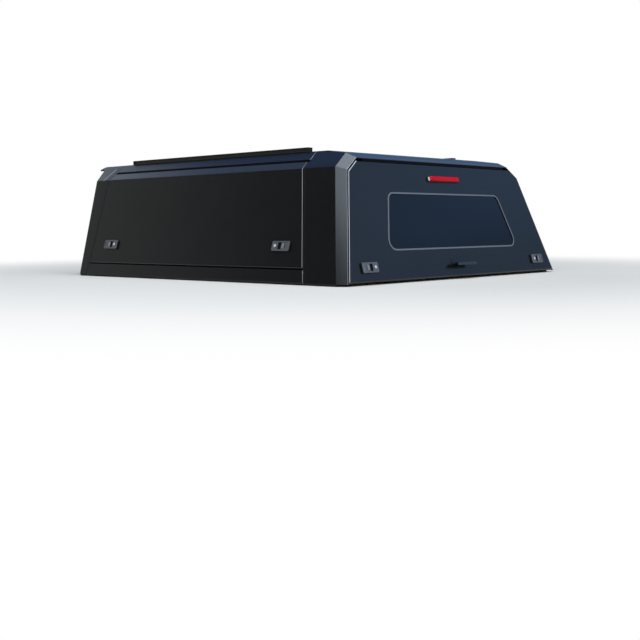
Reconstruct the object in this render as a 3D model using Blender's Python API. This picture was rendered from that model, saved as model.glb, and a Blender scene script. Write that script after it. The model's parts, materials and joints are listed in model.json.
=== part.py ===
# Pickup truck canopy: a folded steel shell with two lift-up side doors and a lift-up rear door.
# Metres, +X to the right of the truck, +Y towards its cab, +Z up, standing on its rubber base seal.
# Places along the canopy are measured forwards from the rear foot of its side.
import math

import bmesh
import bpy
from mathutils import Vector

# Outer form
BASE_HALF_WIDTH = 0.845
CREASE_INSET = 0.155
CREASE_HEIGHT = 0.485
BEVEL_INSET = 0.090
BEVEL_HEIGHT = 0.063
CROWN_RISE = 0.017
BASE_LENGTH = 1.762
REAR_SLOPE = 0.277
FRONT_SLOPE = 0.0907
FRONT_ROOF_REACH = 0.095
LIP_REACH = 0.130
LIP_FACE = 0.008
LIP_RETURN = 0.028
NOSE_RADIUS = 0.035
NOSE_TURN = math.radians(55)
NOSE_STEPS = 6
STRIP_INSET = 0.024
STRIP_DEPTH = 0.049
REAR_CROWN_RUN = 0.122

# Sheet work
SHEET = 0.002
BEND = 0.003
BEND_STEPS = 3
FOLD_ANGLE = math.radians(20)
SHARP_FOLD = 1.2
SEAT = 0.0003
SEAM = 0.001
JAMB = 0.032
LAP = 0.020
NOTCH = 0.004
FRONT_RETURN = 0.030
FRONT_POST = 0.065
FOOT_FLANGE = 0.060
FOOT_LEG = 0.040
FOOT_CLEAR = 0.003
BASE_SEAL = 0.006
SEAL_HEIGHT = 0.006
SEAL_WIDTH = 0.012
SEAL_INSET = 0.004

# Doors
DOOR_DEPTH = 0.022
DOOR_GAP = 0.005
DOOR_LIP = 0.018
SIDE_DOOR_FOOT = 0.063
SIDE_DOOR_REAR = 0.186
SILL_GAP = 0.006
REAR_DOOR_FOOT = 0.005
PAN_MARGIN = 0.004
PAN_RIM = 0.045
PAN_PRESS = 0.009
PAN_RAMP = 0.010
PAN_TOP_RIM = 0.022
PAN_TOP_RAMP = 0.007

# Hinges
HINGE_ALONG = 0.0635
HINGE_DEPTH = 0.005
BEAD_RADIUS = 0.0023
SOCKET_BORE = 0.0025
SOCKET_RADIUS = 0.0042
SOCKET_STEPS = 14
MOUTH_OPEN = math.radians(86)
MOUTH_CLOSED = math.radians(212)
NECK_ANGLE = math.radians(190)
NECK_THICKNESS = 0.0016
DOOR_EDGE = 0.008
SIDE_ROOF_EDGE = 0.008
BAND_EDGE = 0.005
LEAF_THICKNESS = 0.002
LEAF_LENGTH = 0.026
DOOR_LEAF_HEIGHT = 0.016
HINGE_END_GAP = 0.004
GUTTER_TURN = 0.012
GUTTER_SEAT = 0.034

# Latches
LATCH_LENGTH = 0.104
LATCH_HEIGHT = 0.045
LATCH_THICKNESS = 0.009
LATCH_CORNER = 0.006
LATCH_EDGE = 0.0015
LATCH_FLOOR = 0.002
WELL_START = 0.006
WELL_LENGTH = 0.061
WELL_MARGIN = 0.007
PADDLE_LENGTH = 0.038
PADDLE_THICKNESS = 0.003
PADDLE_GAP = 0.0005
PADDLE_RECESS = 0.0005
BARREL_RADIUS = 0.0025
BARREL_FROM_WALL = 0.0040
KEY_RADIUS = 0.009
KEY_STAND = 0.002
KEY_FROM_END = 0.021
SIDE_LATCH_UP = 0.159
FRONT_LATCH_SETBACK = 0.155
REAR_LATCH_SETBACK = 0.160
REAR_LATCH_UP = 0.0655
REAR_LATCH_INSET = 0.175

# Rear window, light and pull
WINDOW_FOOT = 0.134
WINDOW_DROP = 0.1355
WINDOW_FOOT_INSET = 0.327
WINDOW_TOP_INSET = 0.411
WINDOW_CORNER = 0.042
TRIM_WIDTH = 0.007
TRIM_STAND = 0.002
TRIM_LAP = 0.002
GLASS = 0.005
GLASS_LAP = 0.008
PAN_WINDOW_GAP = 0.005
LIGHT_DROP = 0.069
LIGHT_WIDTH = 0.245
LIGHT_HEIGHT = 0.027
LIGHT_STAND = 0.021
LIGHT_BASE = 0.005
LIGHT_CORNER = 0.005
LENS_INSET = 0.004
LENS_TAPER = 0.004
LENS_END = 0.014
PULL_UP = 0.062
PULL_WIDTH = 0.150
PULL_REACH = 0.035
PULL_FLANGE = 0.024
PULL_LIP = 0.014

# Front wall window
FRONT_WINDOW_FOOT = 0.150
FRONT_WINDOW_DROP = 0.085
FRONT_WINDOW_INSET = 0.120
FRONT_WINDOW_CORNER = 0.050
FRONT_TRIM = 0.014

# Roof furniture
RAIL_INSET = 0.026
RAIL_WIDTH = 0.030
RAIL_HEIGHT = 0.020
RAIL_REAR_SETBACK = 0.055
RAIL_FRONT_SETBACK = 0.057
RAIL_SLOT = 0.010
RAIL_SLOT_DEPTH = 0.005
RAIL_CAP = 0.008
RIB_COUNT = 5
RIB_MARGIN = 0.225
RIB_WIDTH = 0.050
RIB_RISE = 0.004
RIB_RAMP = 0.010
BOW_WIDTH = 0.045
BOW_HEIGHT = 0.022
BOW_SETBACK = 0.240

# Worked out from the sizes above
ROOF_HALF_WIDTH = BASE_HALF_WIDTH - CREASE_INSET - BEVEL_INSET
ROOF_EDGE_HEIGHT = CREASE_HEIGHT + BEVEL_HEIGHT
CROWN_HALF_WIDTH = ROOF_HALF_WIDTH - CROWN_RISE * BEVEL_INSET / BEVEL_HEIGHT
REAR_LEAN = math.hypot(1.0, REAR_SLOPE)
SIDE_DOOR_FRONT = BASE_LENGTH - FRONT_POST
ROOF_SEAM = SIDE_DOOR_REAR + REAR_SLOPE * ROOF_EDGE_HEIGHT
RAIL_Z = BASE_SEAL + SEAT
FOOT_Z = RAIL_Z + SHEET + SEAT
CREASE_Z = FOOT_Z + CREASE_HEIGHT
ROOF_Z = FOOT_Z + ROOF_EDGE_HEIGHT
CROWN_Z = ROOF_Z + CROWN_RISE
LIP_FRONT = BASE_LENGTH + LIP_REACH
PULL_BACK = ((PULL_UP - PULL_LIP) * REAR_SLOPE - PULL_REACH) / REAR_LEAN - STRIP_DEPTH
REAR_FOOT_Y = -(LIP_FRONT + PULL_BACK) / 2

FINISHES = {
    "coat": ((0.014, 0.015, 0.017, 1.0), 0.45, 0.0),
    "inner_coat": ((0.020, 0.021, 0.023, 1.0), 0.55, 0.0),
    "rubber": ((0.010, 0.010, 0.011, 1.0), 0.75, 0.0),
    "aluminium": ((0.030, 0.030, 0.032, 1.0), 0.40, 1.0),
    "glass": ((0.012, 0.020, 0.034, 1.0), 0.06, 0.0),
    "latch": ((0.055, 0.058, 0.062, 1.0), 0.40, 0.6),
    "trim": ((0.180, 0.185, 0.190, 1.0), 0.35, 0.8),
    "red_lens": ((0.620, 0.010, 0.025, 1.0), 0.12, 0.0),
    "black_plastic": ((0.016, 0.016, 0.017, 1.0), 0.50, 0.0),
}

pivots = {}


def clear_scene():
    for item in list(bpy.data.objects):
        bpy.data.objects.remove(item, do_unlink=True)


def finish_material(name, finish):
    color, roughness, metallic = FINISHES[finish]
    material = bpy.data.materials.new(name)
    material.use_nodes = True
    shader = material.node_tree.nodes["Principled BSDF"]
    shader.inputs["Base Color"].default_value = color
    shader.inputs["Roughness"].default_value = roughness
    shader.inputs["Metallic"].default_value = metallic
    material.diffuse_color = color
    return material


def add_pivot(name, place, parent=None):
    pivot = bpy.data.objects.new(name, None)
    pivot.empty_display_size = 0.05
    bpy.context.scene.collection.objects.link(pivot)
    base = pivots[parent.name] if parent else Vector((0, 0, 0))
    pivot.parent = parent
    pivot.location = Vector(place) - base
    pivots[name] = Vector(place)
    return pivot


# Weighs the folds of a sheet for rounding and gives the widest one. An outside fold has the radius of the bend
# and the sheet together, and an inside fold that of the bend. The edges of a cut face stay sharp.
def weigh_folds(work, cut, weights):
    widths = {}
    for edge in work.edges:
        turn = edge.calc_face_angle_signed(0.0)
        if abs(turn) > FOLD_ANGLE and not any(face[cut] for face in edge.link_faces):
            radius = BEND + SHEET if turn > 0 else BEND
            widths[edge] = radius * min(math.tan(abs(turn) / 2), SHARP_FOLD)
    widest = max(widths.values(), default=0.0)
    for edge, width in widths.items():
        edge[weights] = width / widest
    return widest


# The faces listed as cut are the cut edges of a sheet, whose folds are then rounded
def add_solid(name, points, faces, finish, pivot=None, smooth=None, cut_faces=None):
    base = pivots[pivot.name] if pivot else Vector((0, 0, 0))
    work = bmesh.new()
    cut = work.faces.layers.int.new("cut")
    weights = work.edges.layers.float.new("bevel_weight_edge")
    verts = [work.verts.new(Vector(point) - base) for point in points]
    for number, face in enumerate(faces):
        made = work.faces.new([verts[index] for index in face])
        made[cut] = int(cut_faces is not None and number in cut_faces)
    bmesh.ops.remove_doubles(work, verts=work.verts, dist=1e-6)
    bmesh.ops.recalc_face_normals(work, faces=work.faces)
    fold_width = weigh_folds(work, cut, weights) if cut_faces is not None else 0.0
    mesh = bpy.data.meshes.new(name)
    work.to_mesh(mesh)
    work.free()
    mesh.materials.append(finish_material(name, finish))
    if smooth:
        mesh.shade_smooth()
        mesh.set_sharp_from_angle(angle=smooth)
    solid = bpy.data.objects.new(name, mesh)
    bpy.context.scene.collection.objects.link(solid)
    solid.parent = pivot
    if fold_width > 0:
        fold = solid.modifiers.new("fold", "BEVEL")
        fold.limit_method = "WEIGHT"
        fold.width = fold_width
        fold.segments = BEND_STEPS
        ends = solid.modifiers.new("ends", "TRIANGULATE")
        ends.min_vertices = 5
    return solid


def apply_boolean(target, tool, operation):
    modifier = target.modifiers.new("shape", "BOOLEAN")
    modifier.operation = operation
    modifier.solver = "EXACT"
    modifier.object = tool
    graph = bpy.context.evaluated_depsgraph_get()
    mesh = bpy.data.meshes.new_from_object(target.evaluated_get(graph))
    target.modifiers.clear()
    target.data = mesh
    bpy.data.objects.remove(tool, do_unlink=True)


# A sheet is two matching grids of points, its outer and its inner face
def sheet_solid(name, outer, inner, finish, pivot=None, folded=True):
    rows = len(outer)
    columns = len(outer[0])
    points = [point for row in outer for point in row] + [point for row in inner for point in row]
    count = rows * columns

    def index(row, column, layer):
        return layer * count + row * columns + column

    faces = []
    for row in range(rows - 1):
        for column in range(columns - 1):
            for layer in (0, 1):
                faces.append((index(row, column, layer), index(row, column + 1, layer),
                              index(row + 1, column + 1, layer), index(row + 1, column, layer)))
    rim = [(0, column) for column in range(columns)]
    rim += [(row, columns - 1) for row in range(1, rows)]
    rim += [(rows - 1, column) for column in range(columns - 2, -1, -1)]
    rim += [(row, 0) for row in range(rows - 2, 0, -1)]
    sheet_faces = len(faces)
    for here, there in zip(rim, rim[1:] + rim[:1]):
        faces.append((index(*here, 0), index(*there, 0), index(*there, 1), index(*here, 1)))
    cut_faces = range(sheet_faces, len(faces)) if folded else None
    return add_solid(name, points, faces, finish, pivot, cut_faces=cut_faces)


# A tray or plate is a stack of matching closed loops, capped at its first and last loop. A folded sheet has
# its cut edge between two of the loops.
def loop_solid(name, loops, finish, pivot=None, caps=None, smooth=None, cut_level=None):
    size = len(loops[0])
    points = [point for loop in loops for point in loop]
    faces = []
    for level in range(len(loops) - 1):
        for here in range(size):
            there = (here + 1) % size
            faces.append((level * size + here, level * size + there,
                          (level + 1) * size + there, (level + 1) * size + here))
    for cap in caps or [tuple(range(size))]:
        faces.append(cap)
        faces.append(tuple((len(loops) - 1) * size + index for index in cap))
    cut_faces = None if cut_level is None else range(cut_level * size, (cut_level + 1) * size)
    return add_solid(name, points, faces, finish, pivot, smooth, cut_faces)


def ring_solid(name, loops, finish, pivot=None):
    size = len(loops[0])
    points = [point for loop in loops for point in loop]
    faces = []
    for level in range(len(loops)):
        above = (level + 1) % len(loops)
        for here in range(size):
            there = (here + 1) % size
            faces.append((level * size + here, level * size + there,
                          above * size + there, above * size + here))
    return add_solid(name, points, faces, finish, pivot)


def mitre(first, second):
    return (first + second) / (1 + first.dot(second))


# Offsets a path of (along, across) points to its left by a distance
def offset_path(path, distance):
    steps = [(b - a).normalized() for a, b in zip(path, path[1:])]
    normals = [Vector((-step.y, step.x)) for step in steps]
    moved = [path[0] + normals[0] * distance]
    for point, before, after in zip(path[1:-1], normals, normals[1:]):
        moved.append(point + mitre(before, after) * distance)
    moved.append(path[-1] + normals[-1] * distance)
    return moved


def round_outline(corners, radius, steps=5):
    outline = []
    count = len(corners)
    for index, corner in enumerate(corners):
        back = (corners[index - 1] - corner).normalized()
        ahead = (corners[(index + 1) % count] - corner).normalized()
        half = math.acos(max(-1.0, min(1.0, back.dot(ahead)))) / 2
        reach = radius / math.tan(half)
        centre = corner + (back + ahead).normalized() * radius / math.sin(half)
        start = corner + back * reach - centre
        end = corner + ahead * reach - centre
        turn = math.atan2(start.x * end.y - start.y * end.x, start.dot(end))
        for step in range(steps + 1):
            angle = turn * step / steps
            outline.append(centre + Vector((start.x * math.cos(angle) - start.y * math.sin(angle),
                                            start.x * math.sin(angle) + start.y * math.cos(angle))))
    return outline


# Lines along the canopy: y as a function of height
def line(station, slope):
    return lambda z: REAR_FOOT_Y + station + slope * (z - FOOT_Z)


def shifted(base, distance):
    return lambda z: base(z) + distance


rear_edge = line(0.0, REAR_SLOPE)
rear_plane = line(-STRIP_DEPTH, REAR_SLOPE)
door_rear = line(SIDE_DOOR_REAR, REAR_SLOPE)
door_front = line(SIDE_DOOR_FRONT, 0.0)
jamb_rear = shifted(door_rear, -DOOR_GAP)
jamb_front = shifted(door_front, DOOR_GAP)
front_wall_face = line(BASE_LENGTH, FRONT_SLOPE)


def front_edge(z):
    if z <= CREASE_Z:
        return front_wall_face(z)
    share = (z - CREASE_Z) / (ROOF_Z - CREASE_Z)
    crease = front_wall_face(CREASE_Z)
    return crease + share * (REAR_FOOT_Y + BASE_LENGTH + FRONT_ROOF_REACH - crease)


# The outline across the canopy, right half: foot, crease and roof edge, with inward directions
foot = Vector((BASE_HALF_WIDTH, FOOT_Z))
crease = Vector((BASE_HALF_WIDTH - CREASE_INSET, CREASE_Z))
roof_corner = Vector((ROOF_HALF_WIDTH, ROOF_Z))
side_along = (crease - foot).normalized()
chamfer_along = (roof_corner - crease).normalized()
side_inward = Vector((-side_along.y, side_along.x))
chamfer_inward = Vector((-chamfer_along.y, chamfer_along.x))
roof_inward = Vector((0, -1))


def side_place(distance):
    return foot + side_along * distance, side_inward


def chamfer_place(distance):
    return crease + chamfer_along * distance, chamfer_inward


crease_place = (crease, mitre(side_inward, chamfer_inward))
roof_place = (roof_corner, mitre(chamfer_inward, roof_inward))
foot_place = (foot, Vector((-1 / side_along.y, 0)))
roof_seat_place = (roof_corner - chamfer_along * SEAT, mitre(chamfer_inward, roof_inward))
crown_place = (Vector((CROWN_HALF_WIDTH, CROWN_Z)), mitre(chamfer_inward, roof_inward))


def place_point(place, depth):
    point, inward = place
    return point + inward * depth


# Sweeps a folded section, given as (line, shift, depth) corners, along places of the outline
def sweep_section(name, places, corners, finish, hand):
    flat = [Vector((corner[0](FOOT_Z) + corner[1], corner[2])) for corner in corners]
    inner_flat = offset_path(flat, SHEET)
    outer = []
    inner = []
    for place in places:
        outer_row = []
        inner_row = []
        for corner, point in zip(corners, inner_flat):
            reference = corner[0]
            spot = place_point(place, corner[2])
            outer_row.append((hand * spot.x, reference(spot.y) + corner[1], spot.y))
            spot = place_point(place, point.y)
            shift = point.x - reference(FOOT_Z)
            inner_row.append((hand * spot.x, reference(spot.y) + shift, spot.y))
        outer.append(outer_row)
        inner.append(inner_row)
    return sheet_solid(name, outer, inner, finish)


# Runs a folded profile of (x, z) corners along Y, each corner between its own two lines
def run_profile(name, corners, thickness, starts, ends, finish, hand, pivot=None):
    inner_corners = offset_path(corners, thickness)
    grids = []
    for path in (corners, inner_corners):
        grids.append([[(hand * point.x, edge(point.y), point.y) for point, edge in zip(path, edges)]
                      for edges in (starts, ends)])
    return sheet_solid(name, grids[0], grids[1], finish, pivot, folded=False)


def run_bar(name, outline, start, end, finish, hand, pivot=None, smooth=None):
    loops = [[(hand * point.x, edge(point.y), point.y) for point in outline] for edge in (start, end)]
    return loop_solid(name, loops, finish, pivot, smooth=smooth)


# Points of the rear face: across, up along the face, and out from it
rear_up = Vector((0, REAR_SLOPE, 1)) / REAR_LEAN
rear_out = Vector((0, -1, REAR_SLOPE)) / REAR_LEAN


def rear_point(x, up, out):
    return Vector((x, rear_plane(FOOT_Z), FOOT_Z)) + rear_up * up + rear_out * out


# Points of a side face: along Y, up along the face, and out from it
def side_point(hand, y, up, out):
    spot = foot + side_along * up - side_inward * out
    return Vector((hand * spot.x, y, spot.y))


side_axis = chamfer_place(HINGE_ALONG)
side_axis = place_point(side_axis, HINGE_DEPTH)
band_edge = place_point(roof_place, STRIP_INSET)
band_up = (band_edge.y - FOOT_Z) * REAR_LEAN
rear_axis_up = band_up - BAND_EDGE
rear_door_top = rear_axis_up - DOOR_EDGE
rear_band_start = Vector(((rear_edge(ROOF_Z) - rear_plane(band_edge.y)), ROOF_Z - band_edge.y))
band_along = Vector((rear_band_start.dot(Vector((rear_up.y, rear_up.z))),
                     rear_band_start.dot(Vector((rear_out.y, rear_out.z))))).normalized()


# Hinge sections in (along, out) of the skin, about the axis at the origin
def meet_circle(point, direction, radius):
    lean = point.dot(direction)
    return point + direction * (-lean + math.sqrt(lean * lean - point.dot(point) + radius * radius))


def fixed_leaf_outline(edge, along):
    skin_inward = Vector((along.y, -along.x))
    corner = Vector((edge, HINGE_DEPTH))
    top = corner + skin_inward * (SHEET + SEAT)
    low = corner + skin_inward * (SHEET + SEAT + LEAF_THICKNESS)
    root_top = meet_circle(top, along, SOCKET_RADIUS) if top.length < SOCKET_RADIUS else top
    if abs(along.y) < 1e-9:
        root_top = Vector((math.sqrt(SOCKET_RADIUS ** 2 - top.y ** 2), top.y))
        root_low = Vector((math.sqrt(SOCKET_RADIUS ** 2 - low.y ** 2), low.y))
    else:
        root_low = meet_circle(low, along, SOCKET_RADIUS)
    first = math.atan2(root_top.y, root_top.x)
    last = math.atan2(root_low.y, root_low.x)
    outline = arc(SOCKET_RADIUS, MOUTH_OPEN, first, 3)
    if (root_top - outline[-1]).length > 1e-6:
        outline.append(root_top)
    outline.append(top + along * (LEAF_LENGTH + SEAM))
    outline.append(low + along * (LEAF_LENGTH + SEAM))
    outline += arc(SOCKET_RADIUS, last, MOUTH_CLOSED - 2 * math.pi, SOCKET_STEPS)
    outline += arc(SOCKET_BORE, MOUTH_CLOSED - 2 * math.pi, MOUTH_OPEN, SOCKET_STEPS)
    return outline


def arc(radius, start, end, steps):
    return [Vector((radius * math.cos(start + (end - start) * step / steps),
                    radius * math.sin(start + (end - start) * step / steps))) for step in range(steps + 1)]


def door_leaf_outline():
    near = -(DOOR_EDGE - SEAT - LEAF_THICKNESS)
    far = -(DOOR_EDGE - SEAT)
    neck = Vector((math.cos(NECK_ANGLE), math.sin(NECK_ANGLE)))
    across = Vector((-neck.y, neck.x)) * NECK_THICKNESS / 2
    half = math.asin(NECK_THICKNESS / 2 / BEAD_RADIUS)
    outline = arc(BEAD_RADIUS, NECK_ANGLE + half, NECK_ANGLE - half + 2 * math.pi, SOCKET_STEPS)
    reach = (near - across.x) / neck.x
    upper = neck * reach - across
    lower = neck * reach + across
    upper.x = near
    lower.x = near
    top = HINGE_DEPTH - SHEET
    outline.append(upper)
    outline.append(Vector((near, top)))
    outline.append(Vector((far, top)))
    outline.append(Vector((far, top - DOOR_LEAF_HEIGHT)))
    outline.append(Vector((near, top - DOOR_LEAF_HEIGHT)))
    outline.append(lower)
    return outline


def chamfer_world(point):
    spot = side_axis + chamfer_along * point.x - chamfer_inward * point.y
    return spot


def rear_world(x, point):
    return rear_point(x, rear_axis_up + point.x, point.y - HINGE_DEPTH)


# Corner pieces
def add_rear_pillar(side, hand):
    landing = shifted(rear_plane, JAMB * REAR_LEAN)
    corners = [(landing, 0.0, STRIP_INSET + LAP), (landing, 0.0, STRIP_INSET), (rear_plane, 0.0, STRIP_INSET),
               (rear_edge, 0.0, 0.0), (jamb_rear, 0.0, 0.0), (jamb_rear, 0.0, JAMB),
               (jamb_rear, DOOR_GAP + LAP, JAMB)]
    sweep_section(f"{side}_rear_pillar", [foot_place, crease_place, roof_seat_place], corners, "coat", hand)


def add_front_pillar(side, hand):
    corners = [(jamb_front, -DOOR_GAP - LAP, JAMB), (jamb_front, 0.0, JAMB), (jamb_front, 0.0, 0.0),
               (front_edge, 0.0, 0.0), (front_edge, 0.0, FRONT_RETURN)]
    sweep_section(f"{side}_front_pillar", [foot_place, crease_place, roof_seat_place], corners, "coat", hand)


def jamb_lines(outer_corners, inner_corners):
    inset = DOOR_GAP + LAP + NOTCH
    starts = [shifted(jamb_rear, SEAM)] * outer_corners + [shifted(jamb_rear, inset)] * inner_corners
    ends = [shifted(jamb_front, -SEAM)] * outer_corners + [shifted(jamb_front, -inset)] * inner_corners
    return starts, ends


def add_sill_panel(side, hand):
    top = SIDE_DOOR_FOOT - SILL_GAP
    corners = [place_point(side_place(SEAM), 0.0), place_point(side_place(top), 0.0),
               place_point(side_place(top), JAMB), place_point(side_place(top + SILL_GAP + LAP), JAMB)]
    starts, ends = jamb_lines(2, 2)
    run_profile(f"{side}_sill_panel", corners, SHEET, starts, ends, "coat", hand)


def add_base_rail(side, hand):
    inner = BASE_HALF_WIDTH - FOOT_FLANGE
    corners = [Vector((inner, RAIL_Z + FOOT_LEG)), Vector((inner, RAIL_Z)), Vector((BASE_HALF_WIDTH, RAIL_Z))]
    start = line(SEAM, 0.0)
    end = line(BASE_LENGTH - 2 * SHEET - FOOT_CLEAR, 0.0)
    run_profile(f"{side}_base_rail", corners, SHEET, [start] * 3, [end] * 3, "inner_coat", hand)


def add_front_base_rail():
    half = BASE_HALF_WIDTH - FOOT_FLANGE - SEAM
    front = REAR_FOOT_Y + BASE_LENGTH - SEAM
    path = [Vector((front - FOOT_FLANGE, RAIL_Z + FOOT_LEG)), Vector((front - FOOT_FLANGE, RAIL_Z)),
            Vector((front, RAIL_Z))]
    grids = [[[(x, point.x, point.y) for point in points] for x in (-half, half)]
             for points in (path, offset_path(path, SHEET))]
    sheet_solid("front_base_rail", grids[0], grids[1], "inner_coat")


def add_base_seal():
    outer = BASE_HALF_WIDTH - SEAL_INSET
    inner = BASE_HALF_WIDTH - FOOT_FLANGE + SEAL_INSET
    rear = REAR_FOOT_Y + SEAL_INSET
    front = REAR_FOOT_Y + BASE_LENGTH - SEAL_INSET
    cross = front - FOOT_FLANGE + 2 * SEAL_INSET
    outline = [(outer, rear), (outer, front), (-outer, front), (-outer, rear),
               (-inner, rear), (-inner, cross), (inner, cross), (inner, rear)]
    loops = [[(x, y, z) for x, y in outline] for z in (0.0, BASE_SEAL)]
    loop_solid("base_seal", loops, "rubber")


def roof_half():
    half = [place_point(chamfer_place(HINGE_ALONG + SIDE_ROOF_EDGE), 0.0), Vector((CROWN_HALF_WIDTH, CROWN_Z))]
    ribs = []
    outermost = CROWN_HALF_WIDTH - RIB_MARGIN
    for index in range(RIB_COUNT):
        centre = outermost * (2 * index / (RIB_COUNT - 1) - 1)
        for reach, rise in ((-RIB_WIDTH / 2 - RIB_RAMP, 0.0), (-RIB_WIDTH / 2, RIB_RISE),
                            (RIB_WIDTH / 2, RIB_RISE), (RIB_WIDTH / 2 + RIB_RAMP, 0.0)):
            ribs.append(Vector((-(centre + reach), CROWN_Z + rise)))
    mirrored = [Vector((-point.x, point.y)) for point in reversed(half)]
    return half, ribs, mirrored


def add_roof_panel():
    half, ribs, mirrored = roof_half()
    corners = half + ribs + mirrored
    count = len(corners)
    run_profile("roof_panel", corners, SHEET, [shifted(jamb_rear, SEAM)] * count,
                [shifted(jamb_front, -SEAM)] * count, "coat", 1)


# The half width of the bevel's plane at a height, upright below the roof's edge
def bevel_half(z):
    return ROOF_HALF_WIDTH - max(z - ROOF_Z, 0.0) * BEVEL_INSET / BEVEL_HEIGHT


# Sheets across the roof, rows of (line along the canopy, half width, edge height, top height)
def add_roof_end(name, rows, side):
    inward = crown_place[1]
    middle = offset_path([Vector((row[0](row[3]), row[3])) for row in rows], SHEET * side)
    outer = []
    inner = []
    for row, point in zip(rows, middle):
        reference, half, edge_z, top_z = row
        shift_z = point.y - top_z
        shift_y = point.x - reference(point.y)
        shift_x = inward.x * SHEET
        places = [(half(edge_z), edge_z), (half(top_z), top_z)]
        outer_half = [(x, reference(z), z) for x, z in places]
        inner_half = [(x + shift_x, reference(z + shift_z) + shift_y, z + shift_z) for x, z in places]
        outer.append(outer_half + [(-x, y, z) for x, y, z in reversed(outer_half)])
        inner.append(inner_half + [(-x, y, z) for x, y, z in reversed(inner_half)])
    sheet_solid(name, outer, inner, "coat")


def level(y):
    return lambda z: y


def add_rear_roof_panel():
    rear = rear_edge(ROOF_Z)
    rows = [(jamb_rear, bevel_half, ROOF_Z, CROWN_Z), (level(rear + REAR_CROWN_RUN), bevel_half, ROOF_Z, CROWN_Z),
            (rear_edge, bevel_half, ROOF_Z, ROOF_Z), (rear_plane, level(band_edge.x), band_edge.y, band_edge.y)]
    add_roof_end("rear_roof_panel", rows, 1)


# The roof turns down in a nose that reaches past the front wall, and returns under itself
def add_front_roof_cap():
    tip = REAR_FOOT_Y + LIP_FRONT
    tip_z = CROWN_Z - NOSE_RADIUS * (1 - math.cos(NOSE_TURN))
    edge = front_edge(ROOF_Z) - SEAM
    rows = [(jamb_front, bevel_half, ROOF_Z, CROWN_Z), (level(edge), bevel_half, ROOF_Z, CROWN_Z)]
    for step in range(NOSE_STEPS + 1):
        turn = NOSE_TURN * step / NOSE_STEPS
        y = tip - NOSE_RADIUS * (math.sin(NOSE_TURN) - math.sin(turn))
        top_z = CROWN_Z - NOSE_RADIUS * (1 - math.cos(turn))
        edge_z = ROOF_Z + (tip_z - ROOF_Z) * (y - edge) / (tip - edge)
        rows.append((level(y), bevel_half, edge_z, top_z))
    return_z = tip_z - LIP_FACE
    rows.append((level(tip), bevel_half, return_z, return_z))
    rows.append((level(tip - LIP_RETURN), bevel_half, return_z, return_z))
    add_roof_end("front_roof_cap", rows, -1)


# Openings
def side_loop(hand, inset, depth, top_inset=None):
    top = inset if top_inset is None else top_inset
    low = place_point(side_place(SIDE_DOOR_FOOT + inset), depth)
    middle = place_point(crease_place, depth)
    high = place_point(chamfer_place(HINGE_ALONG - DOOR_EDGE - top), depth)
    rear = shifted(door_rear, inset)
    front = shifted(door_front, -inset)
    return [(hand * point.x, edge(point.y), point.y)
            for point, edge in ((low, rear), (low, front), (middle, front), (high, front), (high, rear),
                                (middle, rear))]


# The two flat faces of a side door's outline, split along the crease
def side_caps():
    return [(0, 1, 2, 5), (5, 2, 3, 4)]


def rear_loop(inset, depth):
    reach = STRIP_INSET + DOOR_GAP + inset
    low_z = FOOT_Z + (REAR_DOOR_FOOT + inset) / REAR_LEAN
    high_z = FOOT_Z + (rear_door_top - inset) / REAR_LEAN
    low_x = foot.x - reach / side_along.y + (low_z - FOOT_Z) * side_along.x / side_along.y
    middle = place_point(crease_place, reach)
    start = crease + chamfer_inward * reach
    high_x = start.x + (high_z - start.y) * chamfer_along.x / chamfer_along.y
    half = [(low_x, low_z), (middle.x, middle.y), (high_x, high_z)]
    outline = half + [(-x, z) for x, z in reversed(half)]
    return [rear_point(x, (z - FOOT_Z) * REAR_LEAN, -depth) for x, z in outline]


def tray_loops(loop):
    return [loop(0.0, 0.0), loop(0.0, DOOR_DEPTH), loop(DOOR_LIP, DOOR_DEPTH),
            loop(DOOR_LIP, DOOR_DEPTH - SHEET), loop(SHEET, DOOR_DEPTH - SHEET), loop(SHEET, SHEET)]


def add_side_seal(side, hand):
    near = SEAL_INSET - DOOR_GAP
    far = near + SEAL_WIDTH
    deep = JAMB - SEAT
    loops = [side_loop(hand, near, deep), side_loop(hand, far, deep),
             side_loop(hand, far, deep - SEAL_HEIGHT), side_loop(hand, near, deep - SEAL_HEIGHT)]
    ring_solid(f"{side}_door_seal", loops, "rubber")


def add_side_gutter(side, hand):
    under = -(SHEET + SEAT + LEAF_THICKNESS + SEAT)
    turn = SIDE_ROOF_EDGE + GUTTER_TURN
    path = [Vector((SIDE_ROOF_EDGE + GUTTER_SEAT, under)), Vector((turn, under)), Vector((turn, -JAMB)),
            Vector((-DOOR_EDGE - LAP, -JAMB))]
    starts, ends = jamb_lines(2, 2)
    grids = []
    for points in (path, offset_path(path, SHEET)):
        spots = [chamfer_world(Vector((point.x, point.y + HINGE_DEPTH))) for point in points]
        grids.append([[(hand * spot.x, edge(spot.y), spot.y) for spot, edge in zip(spots, edges)]
                      for edges in (starts, ends)])
    sheet_solid(f"{side}_gutter", grids[0], grids[1], "inner_coat", folded=False)


def add_side_hinge(side, hand, pivot):
    fixed = [chamfer_world(point) for point in fixed_leaf_outline(SIDE_ROOF_EDGE, Vector((1, 0)))]
    moving = [chamfer_world(point) for point in door_leaf_outline()]
    start = shifted(door_rear, HINGE_END_GAP)
    end = shifted(door_front, -HINGE_END_GAP)
    run_bar(f"{side}_hinge_socket", fixed, start, end, "aluminium", hand, smooth=math.radians(30))
    run_bar(f"{side}_hinge_bead", moving, start, end, "aluminium", hand, pivot, math.radians(30))


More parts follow.
